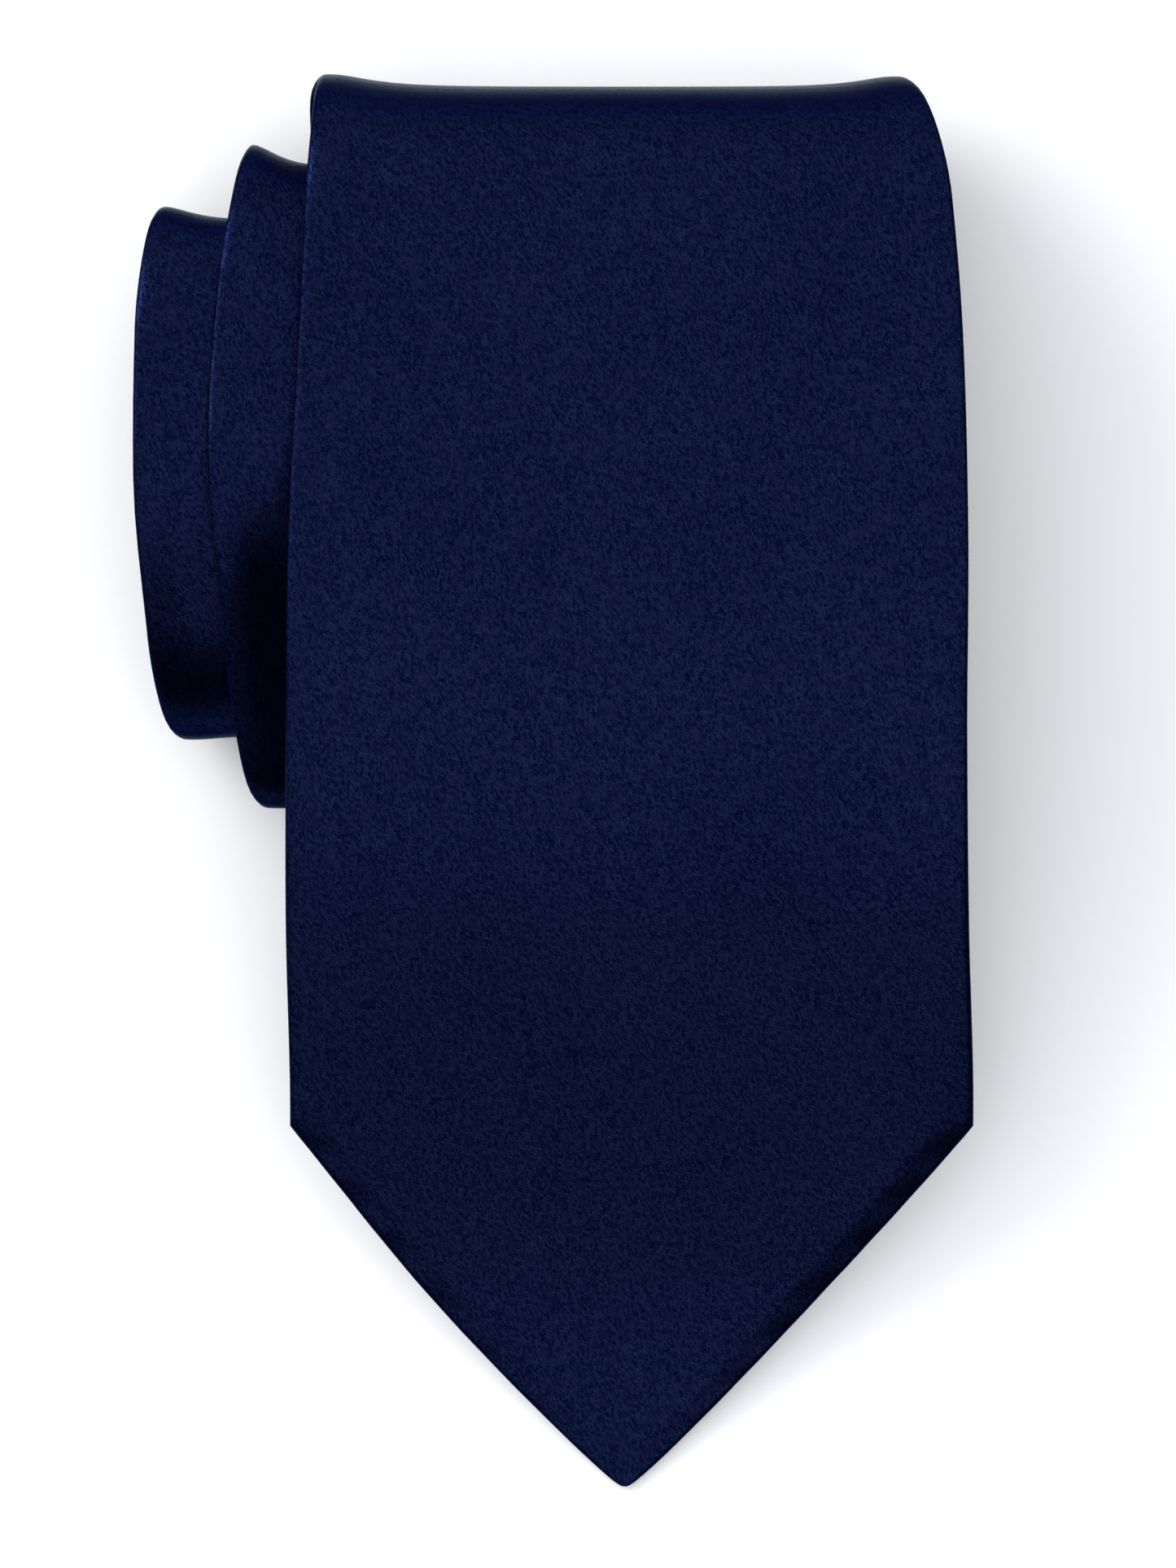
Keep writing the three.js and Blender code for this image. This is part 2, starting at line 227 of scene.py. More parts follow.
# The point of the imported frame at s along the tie, u across it and w through it, good side up.
def place(s, u, w):
    s = np.broadcast_to(s, np.shape(u))
    ny, nz = read("ny", s), read("nz", s)
    size = np.hypot(ny, nz)
    x, y, z = read("x", s) + u, read("y", s) + w * ny / size, read("z", s) + w * nz / size
    near = ease((y - slump["from"]) / (slump["to"] - slump["from"]))
    onRoll = read("turn", s) > -0.5
    return np.stack([x, y, z * (1 - slump["share"] * near * onRoll)], axis=-1)


def foldness(s, number):
    away = np.abs(read("turn", s) - number)
    return np.where(away < 0.25, np.cos(2 * math.pi * np.minimum(away, 0.25)) ** 2, 0)


def halfWidth(s):
    def point(fromTip, length, full):
        a = cloth["tipRound"]
        slope = full / math.sqrt(length * (length + 2 * a))
        fromTip = np.maximum(fromTip, 2e-6)
        return slope * np.sqrt(fromTip * (fromTip + 2 * a))
    table = cloth["halfWidths"]
    width = smoothTable(table, s)
    share = np.clip(s / cloth["bladePoint"], 0, 1) ** cloth["bulgeLean"]
    swell = cloth["pointBulge"] * np.sin(math.pi * share)
    width = np.minimum(width, point(s, cloth["bladePoint"], table[0][1]) + swell)
    return np.minimum(width, point(roll["tieLength"] - s, cloth["tailPoint"], table[-1][1]))


# Half the width of the long V that the back flaps leave open above each point.
def opening(s):
    def towards(fromTip, length, full, tack):
        slope = full / length
        hem = cloth["hem"] * math.hypot(1, slope)
        low = fromTip * slope - hem
        high = (length * slope - hem) * (tack - fromTip) / (tack - length)
        return np.maximum(0, np.minimum(low, high))
    half = cloth["halfWidths"]
    blade = towards(s, cloth["bladePoint"], half[0][1], cloth["tack"])
    tailEnd = roll["tieLength"]
    tail = towards(tailEnd - s, cloth["tailPoint"], half[-1][1], tailEnd - cloth["tailTack"])
    return np.maximum(blade, tail)


# Corners of the folds stand proud of their middles, and are pulled in: (fold, side, height, reach, inset).
foldCorners = [
    (0, -1, 0.00175, 0.0055, 0.0009),
    (0.28, -1, 0.0, 0.0055, 0.0026),
    (0, 1, 0.00150, 0.0050, 0.0024),
    (1, -1, 0.00060, 0.0050, 0.0012),
    (1, 1, 0.00030, 0.0050, 0.0012),
    (2, -1, 0.00310, 0.0032, 0.0016),
    (3, -1, 0.00070, 0.0040, 0.0012),
    (4, -1, 0.00190, 0.0034, 0.0014),
]

# The free left edges of the lower turns curl up towards the near end: (from turn, to turn, height, reach).
edgeCurls = [
    (1.00, 1.64, 0.0030, 0.0056),
    (3.02, 3.66, 0.0014, 0.0034),
]

# Broad, shallow swells of the front blade: (place along, place across, height, reach along, reach across).
bladeSwells = [
    (0.160, -0.004, -0.00035, 0.014, 0.012),
    (0.135, -0.026, 0.00022, 0.022, 0.012),
    (0.072, 0.020, -0.00028, 0.014, 0.016),
    (0.090, -0.020, 0.00020, 0.020, 0.018),
    (0.120, 0.022, 0.00022, 0.024, 0.014),
]


def lift(s, u, left, right):
    w = np.zeros(np.shape(u))
    for number, side, height, reach, _ in foldCorners:
        inwards = np.maximum(0, right - u if side > 0 else u - left)
        w = w + foldness(s, number) * height / np.cosh(inwards / (cloth["cornerSoft"] * reach))
    turn = read("turn", s)
    for fromTurn, toTurn, height, reach in edgeCurls:
        share = np.sin(math.pi * np.clip((turn - fromTurn) / (toTurn - fromTurn), 0, 1)) ** 2
        w = w + share * height * np.exp(-(np.maximum(0, u - left) / reach) ** 2)
    for along, across, height, reachAlong, reachAcross in bladeSwells:
        w = w + height * np.exp(-((s - along) / reachAlong) ** 2 - ((u - across) / reachAcross) ** 2)
    return w


def edgesAt(s):
    left, right = -halfWidth(s), halfWidth(s)
    for number, side, _, _, inset in foldCorners:
        bend = foldness(s, number)
        pull = inset * bend + cloth["cornerRound"] * bend ** cloth["cornerNarrow"]
        if side < 0:
            left = left + pull
        else:
            right = right - pull
    return left, right


# How far the good side drops towards the tie's edges.
def edgeDrop(s, u, left, right):
    inwards = np.minimum(right - u, u - left)
    slope = cloth["bladeWidth"] / 2 / cloth["bladePoint"]
    past, over = cloth["pointTurn"]
    onPoint = ease((cloth["bladePoint"] + past - s) / over)
    square = inwards * (1 - onPoint * (1 - math.cos(math.atan(slope))))
    gathers = cloth["pucker"] * np.sin(2 * math.pi * s / cloth["puckerLength"] + u * cloth["puckerSlant"])
    plain = cloth["edgeDrop"] * np.exp(-(square / cloth["edgeDropReach"]) ** 2)
    onLeft, onRight = cloth["pointDrop"]
    deep = np.where(u > 0, onRight, onLeft) * ease(right / cloth["tipFade"]) + gathers
    hard = deep * np.maximum(0, 1 - square / cloth["pointDropReach"]) ** cloth["pointDropCurve"]
    return plain * (1 - onPoint) + hard * onPoint


def halfThickness(right):
    return np.minimum(roll["thickness"] / 2, cloth["pointTaper"] * right + cloth["leastHalf"])


# The height of the tie's good side over the line, before the broad lifts.
def goodSide(s, u, left, right):
    half = halfThickness(right)
    return half - np.minimum(edgeDrop(s, u, left, right), half * 1.1)


# The places along the tie where a piece has its rings: close in the folds, sparser between them.
def stations(start, end, step):
    own = line["s"][(line["s"] > start + 1e-5) & (line["s"] < end - 1e-5)]
    turning = np.abs(read("turn", own) - np.round(read("turn", own))) <= 0.2501
    kept, last = [], start
    for s, bends in zip(own, turning & (read("turn", own) > -0.5)):
        if bends or s - last >= step:
            kept.append(s)
            last = s
    ends = np.array(cloth["tipStations"])
    tips = [*ends, *(roll["tieLength"] - ends)]
    return np.unique([start, end, *kept, *(s for s in tips if start <= s <= end)])


# Shares from 0 to 1, closer together at both ends.
def clustered(count):
    return (1 - np.cos(np.linspace(0, math.pi, count))) / 2


shell = {
    "wallShare": 0.4,           # the most that the wall may be of half the thickness
    "rollShare": 0.45,          # and the rolled edge, of half the width
    "lapShare": 0.3,            # and the lap, of half the width
    "flapGap": 1.2,             # from an edge to where a flap may end, in edge rolls
    "underLap": 0.5,            # how far the lower flap runs past the middle, in laps
    "tuckFrom": 2.6,            # where it starts to tuck in, in laps
    "tuckOver": 1.2,
    "edgeShare": 0.6,           # of the cloth's rise that counts in its width
}


# The envelope of good cloth, as one closed wall: a front, two rolled edges, and two back flaps that lap.
def shellRings(s, frontCount, backCount, edgeCount):
    s = s[:, None]
    left, right = edgesAt(s)
    half = halfThickness(right)
    wall = np.minimum(cloth["wall"], half * shell["wallShare"])
    rolled = np.minimum(cloth["edgeRoll"], shell["rollShare"] * right)
    apart = opening(s)
    closed = 1 - ease(apart / cloth["lapReach"])
    lap = np.minimum(cloth["lap"], shell["lapShare"] * right)
    rightFlap = np.minimum(apart - lap * closed, right - rolled * shell["flapGap"])
    leftFlap = np.maximum(-apart + shell["underLap"] * lap * closed, left + rolled * shell["flapGap"])
    angle = np.linspace(-math.pi / 2, math.pi / 2, edgeCount)[None, :]
    back, front = clustered(backCount)[None, :], clustered(frontCount)[None, :]

    def path(inset):
        rightTop, leftTop = (goodSide(s, u, left, right) for u in (right - rolled, left + rolled))
        rightMiddle, leftMiddle = (rightTop - half) / 2, (leftTop - half) / 2
        backRight = rightFlap + (right - rolled - rightFlap) * back
        frontAcross = right - rolled + (left + 2 * rolled - right) * front
        backLeft = left + rolled + (leftFlap - left - rolled) * back
        tucked = ease((backLeft + shell["tuckFrom"] * lap) / (shell["tuckOver"] * lap))
        tuck = closed * tuckDepth * tucked
        u = np.hstack([
            backRight[:, :-1],
            right - rolled + (rolled - inset) * np.cos(angle),
            frontAcross[:, 1:-1],
            left + rolled - (rolled - inset) * np.cos(angle),
            backLeft[:, 1:],
        ])
        w = np.hstack([
            inset - half + 0 * backRight[:, :-1],
            rightMiddle + ((rightTop + half) / 2 - inset) * np.sin(angle),
            goodSide(s, frontAcross[:, 1:-1], left, right) - inset,
            leftMiddle - ((leftTop + half) / 2 - inset) * np.sin(angle),
            inset - half + tuck[:, 1:],
        ])
        return u, w

    outer, inner = path(0 * wall), path(wall)
    u = np.hstack([outer[0], inner[0][:, ::-1]])
    w = np.hstack([outer[1], inner[1][:, ::-1]])
    across = np.abs(np.diff(outer[0], axis=1)) + shell["edgeShare"] * np.abs(np.diff(outer[1], axis=1))
    around = np.hstack([np.zeros((len(s), 1)), np.cumsum(across, axis=1)])
    middle = around[:, [backCount + edgeCount - 2 + frontCount // 2]]
    around = middle - around
    around = np.hstack([around, around[:, ::-1]])
    points = place(s, u, w + lift(s, u, left, right))
    return points, np.stack([around, np.broadcast_to(s, around.shape)], axis=-1)


strip = {
    "bevelShare": 0.35,         # of its thickness, at its long edges
    "bevelMost": 0.00012,
    "leastThickness": 0.00003,
}


# A flat piece between two heights w, whose left and right edges at s come from sides(s). puff bows its
# middle off the tie, and sink moves it deeper in.
def stripRings(s, low, high, sides, count, puff=0, sink=0):
    s = s[:, None]
    left, right = sides(s)
    t = clustered(count)[None, :]
    u = left + (right - left) * t
    swell = puff * np.sin(math.pi * t)
    bevel = np.minimum((high - low) * strip["bevelShare"], strip["bevelMost"])
    edge = np.zeros((1, count))
    edge[0, [0, -1]] = bevel
    leftEdge, rightEdge = edgesAt(s)
    highest = goodSide(s, u, leftEdge, rightEdge) - tuckDepth
    top = np.minimum(high + sink, highest) - edge - swell
    bottom = np.minimum(low + sink + edge - swell, top - strip["leastThickness"])
    u2, w2 = np.hstack([u, u[:, ::-1]]), np.hstack([bottom, top[:, ::-1]])
    points = place(s, u2, w2 + lift(s, u2, leftEdge, rightEdge))
    return points, np.stack([u2, np.broadcast_to(s, u2.shape)], axis=-1)


# A mesh through closed rings of points, with its UV map in metres of cloth.
def loft(name, rings, material):
    points, uv = rings
    many, count = points.shape[:2]
    i, k = np.meshgrid(np.arange(many - 1), np.arange(count), indexing="ij")
    nextK = (k + 1) % count
    near, far = i * count, (i + 1) * count
    sides = np.stack([near + k, far + k, far + nextK, near + nextK], axis=-1)
    k = np.arange(count // 2 - 1)
    cap = np.stack([k, k + 1, count - 2 - k, count - 1 - k], axis=-1)
    faces = np.vstack([sides.reshape(-1, 4), cap, cap[:, ::-1] + (many - 1) * count])
    mesh = bpy.data.meshes.new(name)
    mesh.from_pydata(points.reshape(-1, 3).tolist(), [], faces.tolist())
    layer = mesh.uv_layers.new(name="cloth")
    layer.data.foreach_set("uv", uv.reshape(-1, 2)[faces.ravel()].astype(np.float32).ravel())
    mesh.polygons.foreach_set("use_smooth", np.ones(len(faces), bool))
    mesh.update()
    piece = bpy.data.objects.new(name, mesh)
    bpy.context.scene.collection.objects.link(piece)
    piece.data.materials.append(material)
    return piece


# A node's socket, so that shader maths reads as Python.
class Sock:
    def __init__(self, tree, socket=None):
        self.tree, self.socket = tree, socket

    def node(self, kind, settings=None, inputs=None, output=0):
        made = self.tree.nodes.new(kind)
        for key, value in (settings or {}).items():
            setattr(made, key, value)
        for key, value in (inputs or {}).items():
            if isinstance(value, Sock):
                self.tree.links.new(value.socket, made.inputs[key])
            else:
                made.inputs[key].default_value = value
        if isinstance(output, tuple):
            return tuple(Sock(self.tree, made.outputs[i]) for i in output)
        return Sock(self.tree, made.outputs[output]) if made.outputs else None

    def math(self, operation, *values):
        return self.node("ShaderNodeMath", {"operation": operation}, dict(enumerate(values)))

    def __add__(self, other):
        return self.math("ADD", self, other)

    def __sub__(self, other):
        return self.math("SUBTRACT", self, other)

    def __rsub__(self, other):
        return self.math("SUBTRACT", other, self)

    def __mul__(self, other):
        return self.math("MULTIPLY", self, other)

    def __truediv__(self, other):
        return self.math("DIVIDE", self, other)

    __radd__ = __add__
    __rmul__ = __mul__


def startMaterial(name):
    material = bpy.data.materials.new(name)
    material.use_nodes = True
    material.node_tree.nodes.clear()
    return material, Sock(material.node_tree)


def noise(sock, vector, scale, detail=2.0, roughness=0.5):
    inputs = {"Vector": vector, "Scale": scale, "Detail": detail, "Roughness": roughness}
    return sock.node("ShaderNodeTexNoise", None, inputs)


def mixColour(sock, factor, a, b):
    made = {"Factor": factor, 6: a, 7: b}
    return sock.node("ShaderNodeMix", {"data_type": "RGBA"}, made, output=2)


def finishMaterial(sock, colour, roughness, height, strength, distance, fixed):
    bump = sock.node("ShaderNodeBump", None, {"Strength": strength, "Distance": distance, "Height": height})
    inputs = {"Base Color": colour, "Roughness": roughness, "Normal": bump, **fixed}
    shader = sock.node("ShaderNodeBsdfPrincipled", None, inputs)
    sock.node("ShaderNodeOutputMaterial", None, {"Surface": shader})


toMillimetres = (1000, 1000, 1000)


# Threads of a weave: short floats in slanting columns, each column stepped along from its neighbour.
def weave(sock, look):
    uv = sock.node("ShaderNodeUVMap", {"uv_map": "cloth"})
    turned = sock.node("ShaderNodeMapping", None, {
        "Vector": uv, "Rotation": (0, 0, look["slant"]), "Scale": toMillimetres})
    across, along = sock.node("ShaderNodeSeparateXYZ", None, {0: turned}, output=(0, 1))
    wander = noise(sock, turned, look["wanderScale"], 1.0) * look["wander"]
    column = (across + wander) / look["columnWidth"]
    whole = column.math("FLOOR", column)
    run = along / look["floatLength"] + whole * look["step"]
    cell = run.math("FLOOR", run)
    u = column.math("FRACT", column) * 2 - 1
    v = run.math("FRACT", run) * 2 - 1
    crown = (1 - u * u) * (1 - (v * v) * (v * v) * 0.8)
    key = sock.node("ShaderNodeCombineXYZ", None, {"X": whole, "Y": cell})
    chance = sock.node("ShaderNodeTexWhiteNoise", {"noise_dimensions": "2D"}, {"Vector": key})
    return turned, crown, chance


satinLook = {
    "slant": math.radians(-24),
    "columnWidth": 0.24,        # millimetres, as all of the weave
    "floatLength": 0.50,
    "step": 0.37,               # from one column's floats to the next's, in floats
    "wander": 0.25,
    "wanderScale": 0.35,
    "dark": (0.0001, 0.0012, 0.0135, 1),
    "light": (0.0083, 0.0137, 0.0442, 1),
    "violet": (0.0060, 0.0058, 0.0300, 1),
    "mottle": (0.8, 3.0, 0.65),         # scale, detail and roughness of each noise
    "broad": (0.05, 2.0),
    "speck": (3.2, 2.0, 0.7),
    "tint": (0.25, 5.0, 0.8),
    "tintRange": (0.44, 0.72),
    "tintMost": 0.35,
    "toneBase": 0.05,
    "crownShare": 0.36,         # what each adds to the tone
    "chanceShare": 0.62,
    "mottleShare": 0.25,
    "broadShare": 0.2,
    "speckShare": 1.5,
    "toneMost": 1.4,
    "roughness": 0.29,
    "bump": 0.35,
    "bumpDistance": 0.00005,
    "fixed": {"Metallic": 0.95, "Specular IOR Level": 0.06, "Sheen Weight": 0.02, "Sheen Roughness": 0.35,
              "Sheen Tint": (0.20, 0.28, 0.75, 1), "Specular Tint": (0.38, 0.42, 0.45, 1)},
}


def satin():
    material, sock = startMaterial("navySatin")
    where, crown, chance = weave(sock, satinLook)
    look = satinLook
    mottle, broad, speck, tint = (noise(sock, where, *look[name])
                                  for name in ("mottle", "broad", "speck", "tint"))
    tone = look["toneBase"] + look["crownShare"] * crown + look["chanceShare"] * (chance - 0.3)
    tone = tone + look["mottleShare"] * (mottle - 0.5) + look["broadShare"] * (broad - 0.5)
    tone = tone + look["speckShare"] * (speck - 0.5)
    tone = sock.node("ShaderNodeClamp", None, {"Value": tone, "Max": look["toneMost"]})
    colour = mixColour(sock, tone, look["dark"], look["light"])
    tinted = sock.node("ShaderNodeMapRange", None, {
        "Value": tint, "From Min": look["tintRange"][0], "From Max": look["tintRange"][1],
        "To Max": look["tintMost"]})
    colour = mixColour(sock, tinted, colour, look["violet"])
    roughness = look["roughness"] + 0.10 * (mottle - 0.5) - 0.05 * chance
    height = crown * 0.7 + chance * 0.25 + mottle * 0.5
    finishMaterial(sock, colour, roughness, height, look["bump"], look["bumpDistance"], look["fixed"])
    return material


liningLook = {
    "slant": 0.0,
    "columnWidth": 0.24,
    "floatLength": 0.24,
    "step": 0.5,
    "wander": 0.05,
    "wanderScale": 0.4,
    "dark": (0.0020, 0.0040, 0.0180, 1),
    "light": (0.0090, 0.0140, 0.0480, 1),
    "fixed": {"Specular IOR Level": 0.07, "Sheen Weight": 0.02, "Sheen Tint": (0.3, 0.36, 0.7, 1)},
}


def lining():
    material, sock = startMaterial("navyLining")
    where, crown, chance = weave(sock, liningLook)
    mottle = noise(sock, where, 0.5, 2.0)
    colour = mixColour(sock, 0.6 * crown + 0.3 * chance, liningLook["dark"], liningLook["light"])
    finishMaterial(sock, colour, 0.38 + 0.1 * mottle, crown, 0.35, 0.00005, liningLook["fixed"])
    return material


woolLook = {
    "dark": (0.50, 0.46, 0.38, 1),
    "light": (0.78, 0.75, 0.67, 1),
    "fixed": {"Sheen Weight": 0.2},
}


def wool():
    material, sock = startMaterial("interliningWool")
    uv = sock.node("ShaderNodeUVMap", {"uv_map": "cloth"})
    where = sock.node("ShaderNodeMapping", None, {"Vector": uv, "Scale": toMillimetres})
    fibre, felt = noise(sock, where, 2.5, 4.0, 0.7), noise(sock, where, 0.4, 3.0)
    colour = mixColour(sock, 0.6 * fibre + 0.4 * felt, woolLook["dark"], woolLook["light"])
    finishMaterial(sock, colour, 0.85 + 0.1 * fibre, fibre + felt, 0.6, 0.0001, woolLook["fixed"])
    return material


threadLook = {
    "dark": (0.006, 0.010, 0.045, 1),
    "light": (0.022, 0.034, 0.115, 1),
    "fixed": {"Specular IOR Level": 0.12, "Sheen Weight": 0.03},
}


def thread():
    material, sock = startMaterial("navyThread")
    where = sock.node("ShaderNodeTexCoord", None, None, output=3)
    ply = sock.node("ShaderNodeTexWave", {"bands_direction": "DIAGONAL"}, {
        "Vector": where, "Scale": 900.0, "Distortion": 1.5, "Detail": 1.0}, output=1)
    fuzz = noise(sock, where, 4000.0, 2.0)
    colour = mixColour(sock, 0.6 * ply + 0.4 * fuzz, threadLook["dark"], threadLook["light"])
    finishMaterial(sock, colour, 0.45 + 0.2 * fuzz, ply + 0.4 * fuzz, 0.5, 0.00005, threadLook["fixed"])
    return material


ribbonLook = {
    "labelCloth": ((0.004, 0.007, 0.022, 1), (0.018, 0.026, 0.070, 1)),     # dark and light
    "careCloth": ((0.62, 0.61, 0.57, 1), (0.86, 0.85, 0.82, 1)),
    "thread": 0.35,
    "fixed": {"Specular IOR Level": 0.12},
}


def ribbon(name):
    material, sock = startMaterial(name)
    look = {**liningLook, "columnWidth": ribbonLook["thread"], "floatLength": ribbonLook["thread"]}
    where, crown, chance = weave(sock, look)
    colour = mixColour(sock, 0.65 * crown + 0.35 * chance, *ribbonLook[name])
    soil = noise(sock, where, 0.15, 3.0)
    finishMaterial(sock, colour, 0.42 + 0.15 * soil, crown, 0.5, 0.00006, ribbonLook["fixed"])
    return material


satinCloth = satin()
liningCloth = lining()
woolCloth = wool()
navyThread = thread()
labelCloth = ribbon("labelCloth")
careCloth = ribbon("careCloth")
print("materials: made")


# The columns in counts are the front's, each back flap's and each edge's.
def shellPiece(name, start, end, step, counts):
    return loft(name, shellRings(stations(start, end, step), *counts), satinCloth)


def shellArea(start, end):
    s = np.linspace(start, end, 200)
    return float(np.mean(4 * halfWidth(s) + cloth["lap"])) * (end - start)


farFoldEnd = atTurn(0.25)
crossStart, crossEnd = atTurn(2.25), atTurn(2.75)
neckSeam, tailSeam, seamGap = 0.650, 1.060, 0.0007

bladeFront = shellPiece("blade_front", 0.0, farFoldEnd, 0.0011, (84, 24, 9))
outerTurn = shellPiece("outer_turn_cloth", farFoldEnd, crossStart, 0.0022, (60, 16, 8))
crossBand = shellPiece("cross_band_cloth", crossStart, crossEnd, 0.0022, (40, 12, 6))
coreBlade = shellPiece("core_blade_cloth", crossEnd, neckSeam - seamGap / 2, 0.0030, (44, 12, 7))
neck = shellPiece("neck_cloth", neckSeam + seamGap / 2, tailSeam - seamGap / 2, 0.0030, (22, 9, 5))
tail = shellPiece("tail_cloth", tailSeam + seamGap / 2, roll["tieLength"], 0.0030, (26, 11, 5))
print("good cloth: made")


inside = {
    "thickness": 0.0006,
    "edgeGap": 0.0009,          # between the interlining's edge and the shell's
    "tipGap": 0.004,
    "tippingThickness": 0.00006,
    "tippingGap": 0.00002,      # between it and the interlining
    "tippingUnder": 0.0035,     # how far the tipping runs in under each flap
    "tippingEdge": 0.0016,      # the least from it to the tie's edge
    "tippingTip": 0.0085,       # from the tip to where it begins
    "pastTack": 0.004,          # how far it runs past the tack
    "sinkFrom": 0.88,           # how closed the flaps are where it starts to sink
    "sinkOver": 0.08,
}


def interliningSides(s):
    left, right = edgesAt(s)
    return left + inside["edgeGap"], right - inside["edgeGap"]


def interlining(name, start, end, step, count):
    half = inside["thickness"] / 2
    s = stations(start, end, step)
    return loft(name, stripRings(s, -half, half, interliningSides, count), woolCloth)


def tippingSides(s):
    reach = np.minimum(opening(s) + inside["tippingUnder"], halfWidth(s) - inside["tippingEdge"])
    return -reach, reach


# Where the flaps meet, the tipping stays under the one that is tucked in.
def tipping(name, start, end):
    high = -inside["thickness"] / 2 - inside["tippingGap"]
    low = high - inside["tippingThickness"]
    s = stations(start, end, 0.002)
    closed = 1 - ease(opening(s) / cloth["lapReach"])
    sink = (ease((closed - inside["sinkFrom"]) / inside["sinkOver"]) * tuckDepth)[:, None]
    return loft(name, stripRings(s, low, high, tippingSides, 30, sink=sink), liningCloth)


bladeWool = interlining("blade_interlining", inside["tipGap"], farFoldEnd, 0.0022, 50)
outerWool = interlining("outer_turn_interlining", farFoldEnd, crossStart, 0.0022, 50)
crossWool = interlining("cross_band_interlining", crossStart, crossEnd, 0.0022, 40)
woolEnd = roll["tieLength"] - inside["tipGap"]
coreWool = interlining("core_interlining", crossEnd, woolEnd, 0.0030, 24)
bladeTippingRun = (inside["tippingTip"], cloth["tack"] + inside["pastTack"])
tailTippingRun = (cloth["tailTack"] - inside["pastTack"], roll["tieLength"] - inside["tippingTip"])
bladeTipping = tipping("blade_tipping_lining", *bladeTippingRun)
tailTipping = tipping("tail_tipping_lining", *tailTippingRun)
print("inner cloths: made")


backFace = -roll["thickness"] / 2 - 0.0001


def boxMiddle(node):
    low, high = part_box(node)
    return (low + high) / 2


# s for a place on the blade's flat run, from its y.
def alongBlade(y):
    onBlade = line["turn"] < 0
    return float(np.interp(y, line["y"][onBlade], line["s"][onBlade]))


def runOf(node):
    low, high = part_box(node)
    return alongBlade(low.y), alongBlade(high.y)


labelLook = {"thickness": 0.00022, "sag": 0.0001}
labelRun = runOf("back_label")
labelHalf = (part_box("back_label")[1].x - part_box("back_label")[0].x) / 2


def labelSides(s):
    return 0 * s - labelHalf, 0 * s + labelHalf


labelFace = backFace - labelLook["thickness"]
labelRings = stripRings(np.linspace(*labelRun, 16), labelFace, backFace, labelSides, 40, labelLook["sag"])
backLabel = loft("blank_label", labelRings, labelCloth)

keeperLook = {
    "thickness": 0.00045,
    "rise": 0.0008,             # of its middle above the blade's back
    "foot": 0.005,              # how much of each end lies flat
    "bowOver": 0.006,
    "curl": 0.00012,
    "columns": 46,
    "endBevel": 0.0001,
    "inset": 0.0003,            # from the solid stitches in to its ends
}
keeperRun = runOf("keeper_loop")
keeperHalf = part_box("keeper_stitch_right")[0].x - boxMiddle("keeper_loop").x - keeperLook["inset"]


# A strip of satin with folded edges, sewn down at both ends and bowed off the blade between them.
def keeperRings():
    s = np.linspace(*keeperRun, 18)[:, None]
    columns = keeperLook["columns"]
    t = clustered(columns)[None, :]
    u = keeperHalf * (2 * t - 1)
    inwards = keeperHalf - np.abs(u)
    rise = keeperLook["rise"] * ease((inwards - keeperLook["foot"]) / keeperLook["bowOver"])
    middle = (s - s[0]) / (s[-1] - s[0])
    edge = keeperLook["curl"] * (2 * middle - 1) ** 6
    top = backFace - rise + 0 * s
    under = top - keeperLook["thickness"] + edge
    top = top - edge * 0.5
    ends = np.zeros((1, columns))
    ends[0, [0, -1]] = keeperLook["endBevel"]
    u2 = np.hstack([u, u[:, ::-1]]) + 0 * s
    w2 = np.hstack([under + ends, top[:, ::-1] - ends])
    return place(s, u2, w2), np.stack([s + 0 * u2, u2], axis=-1)


keeper = loft("keeper_strip", keeperRings(), satinCloth)

careLook = {
    "from": 0.0087,             # past the tail's tack
    "to": 0.0307,
    "halfWidth": 0.008,
    "thickness": 0.0002,
}
careRun = (cloth["tailTack"] + careLook["from"], cloth["tailTack"] + careLook["to"])


def careSides(s):
    return 0 * s - careLook["halfWidth"], 0 * s + careLook["halfWidth"]


careRings = stripRings(np.linspace(*careRun, 20), backFace - careLook["thickness"], backFace, careSides, 12)
careLabel = loft("blank_care_label", careRings, careCloth)
print("labels and keeper: made")


